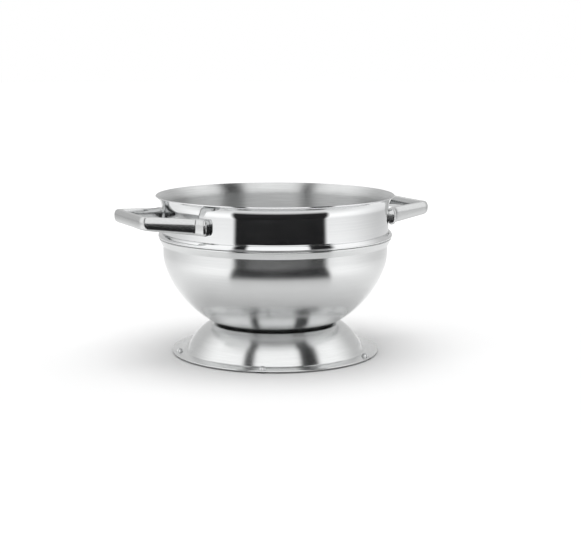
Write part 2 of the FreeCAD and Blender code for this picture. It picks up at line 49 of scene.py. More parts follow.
# ---------------------------------------------------------------------------
# Sizes of the dressed forms, in millimetres, as the steel is pressed and turned
# ---------------------------------------------------------------------------
SEGMENTS = 288

# Clearance of a drawn form from the piece it rests on
HAIR_GAP = 0.02

FEET = 5
FOOT_CIRCLE_R = 98.4
FOOT_FIRST_ANGLE = 21.0
STUD_R = 3.7
STUD_HEIGHT = 3.3
STUD_EDGE = 0.5
PAD_HEIGHT = 1.4

STAND_SHEET = 1.2
STAND_FLANGE_R = 104.5
STAND_FOOT_R = 90.2
STAND_CREST_R = 65.0
STAND_CREST_HEIGHT = 30.0
STAND_CREST_BEND_R = 1.8
STAND_BULGE = 3.4
STAND_CORNER_R = 2.6
STAND_SEAT_R = 57.5
STAND_SEAT_WIDTH = 8.0
FLANGE_TOP = PAD_HEIGHT + STAND_SHEET

BOWL_SHEET = 0.9
BOWL_WALL_R = 112.7
BOWL_SIDE_ARC_R = 104.8
BOWL_SHOULDER_ARC_R = 40.0
BOWL_FLOOR_R = 11.5
BOWL_BASE = 18.337
BOWL_HEIGHT = 99.5
BOWL_CURL_R = 1.0
BOWL_CURL_OUT = 117.4
BOWL_CURL_END_R = 113.8
BOWL_CURL_DROP = 7.4
BOWL_ARC_Z = BOWL_BASE + BOWL_SIDE_ARC_R
BOWL_RIM = BOWL_BASE + BOWL_HEIGHT

HOPPER_SHEET = 1.0
HOPPER_SEAT_GAP = 0.3
HOPPER_NEST_CLEARANCE = 0.8
HOPPER_DEPTH = 53.0
SEAT = BOWL_RIM + HOPPER_SEAT_GAP
HOPPER_ABOVE_BOWL = 41.6
HOPPER_LIP_R = 119.8
HOPPER_LIP_ANGLE = 50.0
HOPPER_LIP_BEND_R = 13.0
HOPPER_WALL_R = 113.8
HOPPER_BEAD_R = 3.7
HOPPER_BEAD_HEIGHT = 5.2
# Corners of the bead above its base: distance out from the wall, height over the seat, bend radius
HOPPER_BEAD_CORNERS = ((1.8, HOPPER_BEAD_HEIGHT, 2.2), (HOPPER_BEAD_R, 2.4, 4.0))
HOPPER_BEAD_BASE_R = 1.05
HOPPER_SEAT_BEND_R = 1.8
HOPPER_SKIRT_R = BOWL_WALL_R - BOWL_SHEET - HOPPER_NEST_CLEARANCE
HOPPER_SKIRT_DEPTH = 18.0
HOPPER_SKIRT_BEND_R = 14.0
HOPPER_NECK_R = 77.6
HOPPER_NECK_HEIGHT = 9.0
HOPPER_NECK_BEND_R = 8.0
HOPPER_LEDGE = SEAT - HOPPER_DEPTH
HOPPER_LEDGE_R = 70.0
HOPPER_LEDGE_BEND_R = 1.6

HANDLE_BAR = 8.5
HANDLE_REACH = 158.0
HANDLE_HALF_GRIP = 40.0
HANDLE_CORNER_R = 9.0
HANDLE_BEND_ANGLE = 26.0
HANDLE_BEND_R = 7.0
HANDLE_PAD_ANGLE = 31.5
HANDLE_PAD_THICKNESS = 7.4
HANDLE_PAD_END_R = 3.0
HANDLE_PAD_TIP_R = 4.5
HANDLE_PAD_BASE = SEAT + 13.2
HANDLE_PAD_HEIGHT = 15.0
HANDLE_GRIP_BASE = SEAT + 18.4
HANDLE_GRIP_HEIGHT = 12.3
HANDLE_EDGE_R = 3.4
HANDLE_CROWN = 5.4

SPRING_BASE = 95.14
SPRING_TOP = 105.88
SPRING_R = 7.9
SPRING_WIRE_R = 0.8
SPRING_TURNS = 3


# ---------------------------------------------------------------------------
# Curves: plane outlines as arrays of points
# ---------------------------------------------------------------------------
def polar(radius, degrees):
    """Point at a radius and an angle, as an array of two numbers."""
    angle = math.radians(degrees)
    return np.array([radius * math.cos(angle), radius * math.sin(angle)])


def arc(centre, radius, start, end, step):
    """Points on a circular arc, a fixed distance apart: centre + radius (cos a, sin a)."""
    count = max(3, int(abs(math.radians(end - start)) * radius / step) + 2)
    a = np.radians(np.linspace(start, end, count))
    return np.stack([centre[0] + radius * np.cos(a), centre[1] + radius * np.sin(a)], 1)


def rounded_path(corners, step=0.4, run=4.0):
    """Open path through (x, y, radius) corners: straight runs cut into short lengths, and each
    corner replaced by the arc that touches both of its runs."""
    points = [np.array(corner[:2], float) for corner in corners]
    pieces = [points[0][None]]
    for i in range(1, len(points)):
        target = points[i]
        if i < len(points) - 1 and corners[i][2]:
            back = (points[i - 1] - target) / np.linalg.norm(points[i - 1] - target)
            ahead = (points[i + 1] - target) / np.linalg.norm(points[i + 1] - target)
            half = 0.5 * math.acos(float(np.clip(back @ ahead, -1, 1)))
            along = corners[i][2] / math.tan(half)
            middle = target + (back + ahead) / np.linalg.norm(back + ahead) * corners[i][2] / math.sin(half)
            first = target + back * along
            last = target + ahead * along
            start = math.degrees(math.atan2(*(first - middle)[::-1]))
            turn = math.degrees(math.atan2(*(last - middle)[::-1])) - start
            turn = (turn + 180) % 360 - 180
            bend = arc(middle, corners[i][2], start, start + turn, step)
        else:
            bend = target[None]
        lead = pieces[-1][-1]
        length = np.linalg.norm(bend[0] - lead)
        cuts = max(1, int(length / run))
        shares = np.unique(np.r_[0.12 / length, np.arange(1, cuts) / cuts, 1 - 0.12 / length])
        between = lead + (bend[0] - lead) * shares[(shares > 0) & (shares < 1)][:, None]
        pieces += [between, bend]
    path = np.concatenate(pieces)
    keep = np.r_[True, np.linalg.norm(np.diff(path, axis=0), axis=1) > 1e-4]
    return path[keep]


def offset(path, distance):
    """Parallel of an open path: each point moves along the mean of its two neighbours' left
    normals, lengthened at a corner so that the sheet keeps its thickness."""
    run = np.diff(path, axis=0)
    run /= np.linalg.norm(run, axis=1)[:, None]
    left = np.stack([-run[:, 1], run[:, 0]], 1)
    before = np.r_[left[:1], left]
    after = np.r_[left, left[-1:]]
    mean = before + after
    mean /= np.linalg.norm(mean, axis=1)[:, None]
    stretch = 1 / np.clip(np.sum(mean * after, axis=1), 0.6, 1)
    return path + mean * (distance * stretch)[:, None]


# ---------------------------------------------------------------------------
# Meshes from grids
# ---------------------------------------------------------------------------
def grid_object(name, points, wrap_u, wrap_v, sharp=32.0):
    """Object from a (u, v, 3) array of millimetre points; either way round may close on itself."""
    rows, columns = points.shape[:2]
    index = np.arange(rows * columns).reshape(rows, columns)
    u_next = np.roll(index, -1, 0) if wrap_u else index[1:]
    here = index if wrap_u else index[:-1]
    if not wrap_v:
        corners = (here[:, :-1], here[:, 1:], u_next[:, 1:], u_next[:, :-1])
    else:
        corners = (here, np.roll(here, -1, 1), np.roll(u_next, -1, 1), u_next)
    faces = np.stack(corners, -1).reshape(-1, 4)
    mesh = bpy.data.meshes.new(name)
    mesh.from_pydata((points.reshape(-1, 3) * MM).tolist(), [], faces.tolist())
    return finish_mesh(name, mesh, sharp)


def finish_mesh(name, mesh, sharp):
    """Link a mesh as an object, merge its doubles, turn its faces outwards and smooth it."""
    work = bmesh.new()
    work.from_mesh(mesh)
    bmesh.ops.remove_doubles(work, verts=work.verts, dist=2e-6)
    bmesh.ops.dissolve_degenerate(work, edges=work.edges, dist=1e-6)
    bmesh.ops.recalc_face_normals(work, faces=work.faces)
    work.to_mesh(mesh)
    work.free()
    mesh.polygons.foreach_set("use_smooth", np.ones(len(mesh.polygons), bool))
    mesh.set_sharp_from_angle(angle=math.radians(sharp))
    thing = bpy.data.objects.new(name, mesh)
    bpy.context.scene.collection.objects.link(thing)
    return thing


def turned(name, outline):
    """Closed outline of (radius, height) carried round the axis: (r cos t, r sin t, z)."""
    t = np.linspace(0, 2 * math.pi, SEGMENTS, endpoint=False)
    r = outline[:, 0][:, None]
    z = np.broadcast_to(outline[:, 1][:, None], (len(outline), SEGMENTS))
    points = np.stack([r * np.cos(t), r * np.sin(t), z], -1)
    return grid_object(name, points, True, True)


def sheet_ring(name, path, thickness, edge=0.3):
    """Turned sheet: out along the path and back along its parallel, with rounded cut edges."""
    back = offset(path, thickness)[::-1]
    first = edge_round(back[-1], path[0], edge)
    last = edge_round(path[-1], back[0], edge)
    return turned(name, np.concatenate([path, last, back, first]))


def edge_round(start, end, bulge):
    """Two points that crown the cut edge of a sheet between its faces."""
    across = end - start
    outward = np.array([across[1], -across[0]]) / np.linalg.norm(across)
    crown = outward * bulge * 0.5
    return np.array([start + across * 0.25 + crown, start + across * 0.75 + crown])


# ---------------------------------------------------------------------------
# The forms
# ---------------------------------------------------------------------------
def hopper_pan():
    """Lip, wall, bead, skirt, cone, neck and ledge of the drawn pan, from outside to inside."""
    lip_turn = math.radians(HOPPER_LIP_ANGLE)
    lip_rise = (HOPPER_LIP_R - HOPPER_WALL_R) / math.tan(lip_turn)
    lip_edge = SEAT + HOPPER_ABOVE_BOWL - HOPPER_SHEET * math.sin(lip_turn)
    bead_out = HOPPER_WALL_R + HOPPER_BEAD_R
    path = rounded_path([
        (HOPPER_LIP_R, lip_edge, 0),
        (HOPPER_WALL_R, lip_edge - lip_rise, HOPPER_LIP_BEND_R),
        (HOPPER_WALL_R, SEAT + HOPPER_BEAD_HEIGHT, 0.5),
        *[(HOPPER_WALL_R + out, SEAT + up, bend) for out, up, bend in HOPPER_BEAD_CORNERS],
        (bead_out, SEAT, HOPPER_BEAD_BASE_R),
        (HOPPER_SKIRT_R, SEAT, HOPPER_SEAT_BEND_R),
        (HOPPER_SKIRT_R, SEAT - HOPPER_SKIRT_DEPTH, HOPPER_SKIRT_BEND_R),
        (HOPPER_NECK_R, HOPPER_LEDGE + HOPPER_NECK_HEIGHT, HOPPER_NECK_BEND_R),
        (HOPPER_NECK_R, HOPPER_LEDGE, HOPPER_LEDGE_BEND_R),
        (HOPPER_LEDGE_R, HOPPER_LEDGE, 0),
    ])
    return sheet_ring("hopper_pan_drawn", path, -HOPPER_SHEET)


def catch_bowl():
    """Bowl of floor, side arc, shoulder arc, wall and curl, each touching the next."""
    wall_r = BOWL_WALL_R - BOWL_SHEET
    side_r = BOWL_SIDE_ARC_R - BOWL_SHEET
    shoulder_r = BOWL_SHOULDER_ARC_R - BOWL_SHEET
    across = wall_r - shoulder_r - BOWL_FLOOR_R
    down = math.sqrt((side_r - shoulder_r)**2 - across**2)
    meeting = -math.degrees(math.atan2(down, across))
    floor_z = BOWL_BASE + BOWL_SHEET
    floor = np.stack([np.linspace(0, BOWL_FLOOR_R, 6), np.full(6, floor_z)], 1)
    side = arc((BOWL_FLOOR_R, BOWL_ARC_Z), side_r, -90, meeting, 3.0)
    shoulder = arc((wall_r - shoulder_r, BOWL_ARC_Z - down), shoulder_r, meeting, 0, 2.0)
    curl = rounded_path([
        (wall_r, shoulder[-1][1], 0), (wall_r, BOWL_RIM, BOWL_CURL_R),
        (BOWL_CURL_OUT, BOWL_RIM, BOWL_CURL_R), (BOWL_CURL_END_R, BOWL_RIM - BOWL_CURL_DROP, 0),
    ], step=0.3)
    path = np.concatenate([floor[:-1], side[:-1], shoulder[:-1], curl])
    return sheet_ring("catch_bowl_drawn", path, -BOWL_SHEET, edge=0.1)


def stand_ring():
    """Flange, rounded corner, bulged side, crest and the seat that follows the bowl."""
    foot = np.array([STAND_FOOT_R, FLANGE_TOP])
    crest = np.array([STAND_CREST_R, STAND_CREST_HEIGHT])
    s = np.linspace(0, 1, 40)[:, None]
    chord = crest - foot
    outward = np.array([chord[1], -chord[0]]) / np.linalg.norm(chord)
    side = foot + chord * s + outward * STAND_BULGE * 4 * s * (1 - s)
    start = -math.degrees(math.acos((STAND_SEAT_R - BOWL_FLOOR_R) / BOWL_SIDE_ARC_R))
    end = start - math.degrees(STAND_SEAT_WIDTH / BOWL_SIDE_ARC_R)
    seat = arc((BOWL_FLOOR_R, BOWL_ARC_Z), BOWL_SIDE_ARC_R + HAIR_GAP, start, end, 1.0)
    # Points of the side where the foot's and the crest's rounded corners take over
    low, high = 6, 35
    top = rounded_path([(*side[high], 0), (*crest, STAND_CREST_BEND_R), (*seat[0], 0)], step=0.3)
    corner = rounded_path([
        (STAND_FLANGE_R, FLANGE_TOP, 0), (STAND_FOOT_R, FLANGE_TOP, STAND_CORNER_R),
        (*side[low], 0),
    ], step=0.3)
    path = np.concatenate([corner, side[low + 1:high], top, seat[1:]])
    return sheet_ring("stand_ring_pressed", path, STAND_SHEET)


def foot_stud(index):
    """Domed head with a small upright edge: a cap of a sphere over a short cylinder."""
    rise = STUD_HEIGHT - STUD_EDGE
    ball = (STUD_R**2 + rise**2) / (2 * rise)
    a = np.linspace(0, math.asin(STUD_R / ball), 16)
    cap = np.stack([ball * np.sin(a), FLANGE_TOP + STUD_HEIGHT - ball + ball * np.cos(a)], 1)
    outline = np.concatenate([cap, [[STUD_R, FLANGE_TOP + HAIR_GAP], [0, FLANGE_TOP + HAIR_GAP]]])
    t = np.linspace(0, 2 * math.pi, 40, endpoint=False)
    x, y = polar(FOOT_CIRCLE_R, FOOT_FIRST_ANGLE + index * 360 / FEET)
    r = outline[:, 0][:, None]
    z = np.broadcast_to(outline[:, 1][:, None], (len(outline), len(t)))
    points = np.stack([x + r * np.cos(t), y + r * np.sin(t), z], -1)
    return grid_object(f"foot_stud_{index + 1}_domed", points, True, True, 50.0)


def resample(path, count):
    """The same path with evenly spaced points."""
    length = np.r_[0, np.cumsum(np.linalg.norm(np.diff(path, axis=0), axis=1))]
    at = np.linspace(0, length[-1], count)
    return np.stack([np.interp(at, length, path[:, 0]), np.interp(at, length, path[:, 1])], 1)


def handle(name, turn):
    """Bar between two plan curves, outer and inner, matched stretch by stretch; its section is a
    rounded rectangle whose top and underside slope with the reach."""
    wall = HOPPER_WALL_R
    bend = polar(wall + HANDLE_BAR, -HANDLE_BEND_ANGLE)
    tip = polar(wall, -HANDLE_PAD_ANGLE)
    tip_out = polar(wall + HANDLE_PAD_THICKNESS, -HANDLE_PAD_ANGLE)
    grip = np.array([HANDLE_REACH, -HANDLE_HALF_GRIP])
    run = (grip - bend) / np.linalg.norm(grip - bend)
    inward = np.array([-run[1], run[0]])
    root = bend + inward * HANDLE_BAR
    inner_x = HANDLE_REACH - HANDLE_BAR
    on_run = -(root @ run) + math.sqrt((root @ run)**2 - root @ root + wall**2)
    leave = root + run * on_run
    leave_angle = math.degrees(math.atan2(leave[1], leave[0]))
    inner_corner = root + run * (inner_x - root[0]) / run[0]
    outer_full = rounded_path([
        (*tip, 0), (*tip_out, HANDLE_PAD_END_R), (*bend, HANDLE_BEND_R), (*grip, HANDLE_CORNER_R),
        (HANDLE_REACH, 0.0, 0)], step=0.3, run=1.5)
    inner_full = np.concatenate([
        arc((0, 0), wall, -HANDLE_PAD_ANGLE, leave_angle, 0.6),
        rounded_path([(*leave, 0), (*inner_corner, HANDLE_CORNER_R / 2), (inner_x, 0.0, 0)],
                     step=0.3, run=1.5)[1:],
    ])
    split_out = int(np.argmin(np.linalg.norm(outer_full - bend, axis=1)))
    split_in = int(np.argmin(np.linalg.norm(inner_full - leave, axis=1)))
    corner_out = int(np.argmin(np.linalg.norm(outer_full - grip, axis=1)))
    corner_in = int(np.argmin(np.linalg.norm(inner_full - inner_corner, axis=1)))
    outer_marks = (0, split_out, corner_out, len(outer_full) - 1)
    inner_marks = (0, split_in, corner_in, len(inner_full) - 1)
    counts = (40, 60, 50)
    outer = [resample(outer_full[a:b + 1], n)[:-1] for a, b, n in zip(outer_marks, outer_marks[1:], counts)]
    inner = [resample(inner_full[a:b + 1], n)[:-1] for a, b, n in zip(inner_marks, inner_marks[1:], counts)]
    outer = np.concatenate(outer + [outer_full[-1:]])
    inner = np.concatenate(inner + [inner_full[-1:]])
    mirror = np.array([1, -1])
    outer = np.concatenate([outer, outer[-2::-1] * mirror])
    inner = np.concatenate([inner, inner[-2::-1] * mirror])
    points = bar_sections(outer, inner)
    spin = np.radians(turn)
    matrix = np.array([[np.cos(spin), -np.sin(spin), 0], [np.sin(spin), np.cos(spin), 0], [0, 0, 1]])
    return grid_object(name, points @ matrix.T, False, True, 40.0)


def bar_sections(outer, inner):
    """Sections between matched points of two plan curves: a rectangle whose corners are quarter
    ellipses, taller than wide. Towards each tip the section grows lower by a quarter round."""
    across = outer - inner
    width = np.linalg.norm(across, axis=1)
    across = across / np.maximum(width, 1e-6)[:, None]
    middle_x = (outer[:, 0] + inner[:, 0]) / 2
    share = (middle_x - HOPPER_WALL_R) / (HANDLE_REACH - HOPPER_WALL_R)
    base = HANDLE_PAD_BASE + (HANDLE_GRIP_BASE - HANDLE_PAD_BASE) * share
    height = HANDLE_PAD_HEIGHT + (HANDLE_GRIP_HEIGHT - HANDLE_PAD_HEIGHT) * share
    centre = (outer + inner) / 2
    run = np.r_[0, np.cumsum(np.linalg.norm(np.diff(centre, axis=0), axis=1))]
    to_tip = np.minimum(np.minimum(run, run[-1] - run), HANDLE_PAD_TIP_R)
    cut = HANDLE_PAD_TIP_R - np.sqrt(HANDLE_PAD_TIP_R**2 - (HANDLE_PAD_TIP_R - to_tip)**2)
    tall = height - 2 * cut
    corner = np.minimum(HANDLE_EDGE_R, np.maximum(width, 0.02) * 0.5 * 0.98)
    crown = np.minimum(HANDLE_CROWN, tall * 0.5 * 0.98)
    turn = np.radians(np.linspace(0, 90, 9))
    sections = []
    for sx, sz in ((1, 1), (-1, 1), (-1, -1), (1, -1)):
        a = turn if sx * sz > 0 else turn[::-1]
        u = sx * (width / 2 - corner)[:, None] + sx * corner[:, None] * np.cos(a)
        w = sz * (tall / 2 - crown)[:, None] + sz * crown[:, None] * np.sin(a)
        sections.append(np.stack([u, w], -1))
    section = np.concatenate(sections, 1)
    xy = centre[:, None, :] + across[:, None, :] * section[..., :1]
    z = (base + height / 2)[:, None] + section[..., 1]
    return np.concatenate([xy, z[..., None]], -1)


def blade_spring():
    """Round wire wound on a helix, (r cos t, r sin t, rising z), with flat cut ends."""
    t = np.linspace(0, 2 * math.pi * SPRING_TURNS, 48 * SPRING_TURNS + 1)
    z = np.linspace(SPRING_BASE + SPRING_WIRE_R, SPRING_TOP - SPRING_WIRE_R, len(t))
    v = np.linspace(0, 2 * math.pi, 16, endpoint=False)
    size = np.full(len(t) + 2, SPRING_WIRE_R)
    size[[0, -1]] = 0.0
    t = np.r_[t[0], t, t[-1]][:, None]
    z = np.r_[z[0], z, z[-1]][:, None]
    r = SPRING_R + size[:, None] * np.cos(v)
    points = np.stack([r * np.cos(t), r * np.sin(t), z + size[:, None] * np.sin(v)], -1)
    return grid_object("blade_spring_wound", points, False, True, 50.0)


# ---------------------------------------------------------------------------
# Finishes
# ---------------------------------------------------------------------------
def linear(code):
    """Linear colour of an sRGB hex code."""
    channels = [int(code[i:i + 2], 16) / 255 for i in (1, 3, 5)]
    return (*[c / 12.92 if c <= 0.04045 else ((c + 0.055) / 1.055)**2.4 for c in channels], 1.0)


def add(tree, kind, inputs=None, **settings):
    """Add a node; inputs holds the value of each socket or the socket that feeds it."""
    made = tree.nodes.new(kind)
    for key, value in settings.items():
        setattr(made, key, value)
    for key, value in (inputs or {}).items():
        if isinstance(value, bpy.types.NodeSocket):
            tree.links.new(value, made.inputs[key])
        else:
            made.inputs[key].default_value = value
    return made


def begin(name):
    """New node material: its tree, its shader and its object coordinates."""
    material = bpy.data.materials.new(name)
    material.use_nodes = True
    tree = material.node_tree
    shader = tree.nodes["Principled BSDF"]
    place = add(tree, "ShaderNodeTexCoord").outputs["Object"]
    return material, tree, shader, place


def round_lines(tree, place, pitch, length):
    """Noise drawn out round the vertical axis: (radius, height, angle), the first two in line
    pitches and the last so that a line keeps its value for about one length, in millimetres."""
    parts = add(tree, "ShaderNodeSeparateXYZ", {0: place})
    flat = add(tree, "ShaderNodeCombineXYZ", {0: parts.outputs[0], 1: parts.outputs[1]})
    radius = add(tree, "ShaderNodeVectorMath", {0: flat.outputs[0]}, operation="LENGTH")
    angle = add(tree, "ShaderNodeMath", {0: parts.outputs[1], 1: parts.outputs[0]}, operation="ARCTAN2")
    line = add(tree, "ShaderNodeCombineXYZ", {0: radius.outputs["Value"], 1: parts.outputs[2]})
    fine = add(tree, "ShaderNodeVectorMath", {0: line.outputs[0], "Scale": 1000 / pitch}, operation="SCALE")
    turn = add(tree, "ShaderNodeMath", {0: angle.outputs[0], 1: 100 / length}, operation="MULTIPLY")
    shift = add(tree, "ShaderNodeCombineXYZ", {2: turn.outputs[0]})
    whole = add(tree, "ShaderNodeVectorMath", {0: fine.outputs[0], 1: shift.outputs[0]}, operation="ADD")
    return add(tree, "ShaderNodeTexNoise", {"Vector": whole.outputs[0], "Scale": 1.0, "Detail": 3.0,
                                            "Roughness": 0.6}).outputs["Fac"]


def run_lines(tree, place, pitch, length, along):
    """Noise drawn out along one axis: that axis in lengths and the others in line pitches."""
    scale = [1000 / pitch] * 3
    scale[along] = 1000 / length
    moved = add(tree, "ShaderNodeMapping", {"Vector": place, "Scale": scale})
    return add(tree, "ShaderNodeTexNoise", {"Vector": moved.outputs[0], "Scale": 1.0, "Detail": 3.0,
                                            "Roughness": 0.6}).outputs["Fac"]


def grain(tree, place, size):
    """Even noise of one grain size, in millimetres."""
    return add(tree, "ShaderNodeTexNoise", {"Vector": place, "Scale": 1000 / size, "Detail": 3.0,
                                            "Roughness": 0.6}).outputs["Fac"]


def between(tree, value, low, high):
    """A 0 to 1 value carried to low to high, using its middle half."""
    return add(tree, "ShaderNodeMapRange", {"Value": value, "From Min": 0.25, "From Max": 0.75,
                                            "To Min": low, "To Max": high}).outputs[0]


def blend(tree, value, first, second):
    """Colour between two hex codes by a value, using its middle half."""
    return add(tree, "ShaderNodeMix", {"Factor": between(tree, value, 0.0, 1.0), 6: linear(first),
                                       7: linear(second)}, data_type="RGBA").outputs[2]


def steel(name, dark, light, rough, marks, depth, spread=0.0):
    """Steel: marks(tree, place) gives its grinding, which colours it from dark to light, moves its
    roughness over rough = (low, high) and cuts to depth, in millimetres. Lines ground round the
    axis spread reflections up and down, by spread from 0 to 1."""
    material, tree, shader, place = begin(name)
    value = marks(tree, place)
    cloud = grain(tree, place, 18.0)
    tree.links.new(blend(tree, value, dark, light), shader.inputs["Base Color"])
    mixed = add(tree, "ShaderNodeMath", {0: value, 1: cloud}, operation="ADD")
    even = add(tree, "ShaderNodeMath", {0: mixed.outputs[0], 1: 0.5}, operation="MULTIPLY")
    tree.links.new(between(tree, even.outputs[0], *rough), shader.inputs["Roughness"])
    bump = add(tree, "ShaderNodeBump", {"Height": value, "Distance": depth * MM, "Strength": 1.0})
    tree.links.new(bump.outputs[0], shader.inputs["Normal"])
    shader.inputs["Metallic"].default_value = 1.0
    if spread:
        around = add(tree, "ShaderNodeTangent", direction_type="RADIAL", axis="Z")
        tree.links.new(around.outputs[0], shader.inputs["Tangent"])
        shader.inputs["Anisotropic"].default_value = spread
        shader.inputs["Anisotropic Rotation"].default_value = 0.25
    return material


def moulded(name, dark, light, rough, size, depth, ior):
    """Moulded plastic or rubber: even grain of one size and depth, in millimetres."""
    material, tree, shader, place = begin(name)
    value = grain(tree, place, size)
    tree.links.new(blend(tree, value, dark, light), shader.inputs["Base Color"])
    tree.links.new(between(tree, value, *rough), shader.inputs["Roughness"])
    bump = add(tree, "ShaderNodeBump", {"Height": value, "Distance": depth * MM, "Strength": 0.6})
    tree.links.new(bump.outputs[0], shader.inputs["Normal"])
    shader.inputs["IOR"].default_value = ior
    return material


# Stainless steel sheet, buffed to a mirror: faint round lines, sharp reflections
BUFFED = steel("stainless_buffed", "#d9dadb", "#e2e3e3", (0.06, 0.10),
               lambda tree, place: round_lines(tree, place, 0.5, 60), 0.0003, 0.5)
# Stainless steel sheet, brushed round by the lathe: reflections run up and down
BRUSHED_INSIDE = steel("stainless_brushed_inside", "#c8c9c9", "#e0e1e1", (0.32, 0.42),
                       lambda tree, place: round_lines(tree, place, 0.6, 30), 0.0006, 0.95)
# Stainless steel sheet, satin: soft reflections with faint round lines
SATIN_BOWL = steel("stainless_satin_bowl", "#d0d1d1", "#dadbdb", (0.15, 0.22),
                   lambda tree, place: round_lines(tree, place, 0.6, 40), 0.0004, 0.75)
SATIN_STAND = steel("stainless_satin_stand", "#d2d3d3", "#dedfdf", (0.18, 0.26),
                    lambda tree, place: round_lines(tree, place, 0.6, 40), 0.0006, 0.8)
# Cast stainless steel, tumbled and polished: softly mottled gloss
CAST = steel("stainless_cast", "#bfc0c0", "#cecfcf", (0.12, 0.22),
             lambda tree, place: grain(tree, place, 1.2), 0.004)
# Stainless steel strip, ground lengthwise
GROUND_X = steel("stainless_ground_strip", "#b9babb", "#cccdcd", (0.24, 0.36),
                 lambda tree, place: run_lines(tree, place, 0.35, 14, 0), 0.005)
GROUND_Y = steel("stainless_ground_arm", "#b9babb", "#cccdcd", (0.24, 0.36),
                 lambda tree, place: run_lines(tree, place, 0.35, 14, 1), 0.005)
# Turned stainless steel: bright, with the tool's round lines
TURNED = steel("stainless_turned", "#c4c5c6", "#d4d5d5", (0.14, 0.24),
               lambda tree, place: round_lines(tree, place, 0.4, 200), 0.003)
# Punched stainless plate: dull, fine-grained
PUNCHED = steel("stainless_punched", "#b4b5b5", "#c6c7c7", (0.28, 0.4),
                lambda tree, place: round_lines(tree, place, 0.6, 25), 0.004)
# Spring steel wire, drawn: a little darker, with lines along the wire
SPRING = steel("spring_steel", "#9c9d9f", "#b1b2b3", (0.22, 0.32),
               lambda tree, place: round_lines(tree, place, 0.25, 90), 0.002)
# Acetal bushes: off-white and waxy
ACETAL = moulded("acetal_bush", "#e3e0d8", "#ece9e2", (0.34, 0.42), 0.5, 0.01, 1.48)
# Phenolic knob: near black, glossy with a faint haze
PHENOLIC = moulded("phenolic_knob", "#141415", "#1d1d1e", (0.22, 0.32), 0.8, 0.01, 1.6)
# Rubber pads: dark grey and matt
RUBBER = moulded("rubber_pad", "#232324", "#2e2e2f", (0.65, 0.8), 0.4, 0.03, 1.5)


def dress(thing, *materials):
    """Give a piece or a CAD node its materials."""
    thing.data.materials.clear()
    for material in materials:
        thing.data.materials.append(material)


def outside_polished(pan):
    """Second material on the faces of the pan that look outwards above its seat."""
    mesh = pan.data
    count = len(mesh.polygons)
    centre = np.empty(count * 3)
    normal = np.empty(count * 3)
    mesh.polygons.foreach_get("center", centre)
    mesh.polygons.foreach_get("normal", normal)
    centre = centre.reshape(-1, 3)
    normal = normal.reshape(-1, 3)
    outward = np.sum(centre[:, :2] * normal[:, :2], axis=1) > 0
    above = centre[:, 2] > (SEAT - 1.0) * MM
    outer = np.linalg.norm(centre[:, :2], axis=1) > (HOPPER_WALL_R - HOPPER_SHEET / 2) * MM
    mesh.polygons.foreach_set("material_index", (outward & above & outer).astype(np.int32))


# ---------------------------------------------------------------------------
# The pieces on the frame
# ---------------------------------------------------------------------------
pan = hopper_pan()
dress(pan, BRUSHED_INSIDE, BUFFED)
outside_polished(pan)
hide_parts("hopper_pan")
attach(pan, "hopper")

bowl = catch_bowl()
dress(bowl, SATIN_BOWL)
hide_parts("catch_bowl")
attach(bowl, "base")

ring = stand_ring()
dress(ring, SATIN_STAND)
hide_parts("stand_ring")
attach(ring, "base")

for foot in range(FEET):
    stud = foot_stud(foot)
    dress(stud, TURNED)
    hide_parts(f"foot_stud_{foot + 1}")
    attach(stud, "base")
    dress(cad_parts[f"foot_pad_{foot + 1}"], RUBBER)

for side, turn in (("right", 0), ("left", 180)):
    bar = handle(f"handle_{side}_cast", turn)
    dress(bar, CAST)
    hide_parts(f"handle_{side}")
    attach(bar, "hopper")
    dress(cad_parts[f"clip_{side}"], GROUND_X)

for node, material in (
    ("milling_disc", PUNCHED), ("disc_button", TURNED), ("crossbar", GROUND_X), ("crossbar_bush", ACETAL),
    ("crank_shaft", TURNED), ("crank_arm", GROUND_Y), ("crank_nut", TURNED), ("crank_knob", PHENOLIC),
    ("knob_pin", TURNED), ("mill_blade", PUNCHED), ("blade_hub", TURNED), ("spring_washer", TURNED),
):
    dress(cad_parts[node], material)

# The whole coil moves with the blade; in the mill its foot rises with the blade and its top stays under the
# collar
coil = blade_spring()
dress(coil, SPRING)
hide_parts("blade_spring")
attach(coil, "blade")
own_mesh(coil)


# ---------------------------------------------------------------------------
# Studio: white floor and surround, with dark flags that only the steel's reflections see
# ---------------------------------------------------------------------------
# Distances are in metres, and bearings in degrees from the camera's side. FLAG_REACH and FLAG_SECTOR
# are the extents of the painted dark reflection. Every other pair is a ramp, from none at its first value
# to all at its second
FLOOR_RINGS = (0.0, 0.3, 0.8, 2.0, 5.0, 12.0)
FLOOR_STEEL_GLOW = 0.4
FLOOR_STEEL_GLOW_RISE = (0.16, 0.36)
FLOOR_STEEL_GLOW_SIDES = (125, 60)
FLOOR_EYE_GLOW = 0.5
FLOOR_EYE_GLOW_RISE = (0.25, 1.2)

FLAG_REACH = (0.17, 3.0)
FLAG_SECTOR = (-60, 72)
FLAG_HEIGHT = 0.0004
FLAG_RISE = (0.165, 0.26)
FLAG_DEEPENS = (0.45, 0.85)
FLAG_LEFT = (-41, -36)
FLAG_RIGHT = (51, 46)

PANELS_MEET_BEHIND = 0.986
PANEL_LEFT = ((-22, -19), (-12.5, -15))
PANEL_RIGHT = ((15.5, 18), (31, 27))
PANELS_ABOVE = (0.0, 0.05)
ROOM_BRIGHT = (1.3, 1.3, 1.3, 1)
ROOM_SIDES = (0.66, 0.66, 0.66, 1)
ROOM_DIMS = (40, 66)
ROOM_FILL = (0.6, 0.6, 0.6, 1)

TOP_LIGHT_SIZE = 1.1
TOP_LIGHT_HEIGHT = 1.3
TOP_LIGHT_WATTS = 11.5

CAMERA_AZIMUTH = -26.0
CAMERA_LENS = 82.10
CAMERA_SHIFT = 0.0264
CAMERA_DISTANCE = 1.325
CAMERA_HEIGHT = 0.3002
CAMERA_PITCH = 9.64


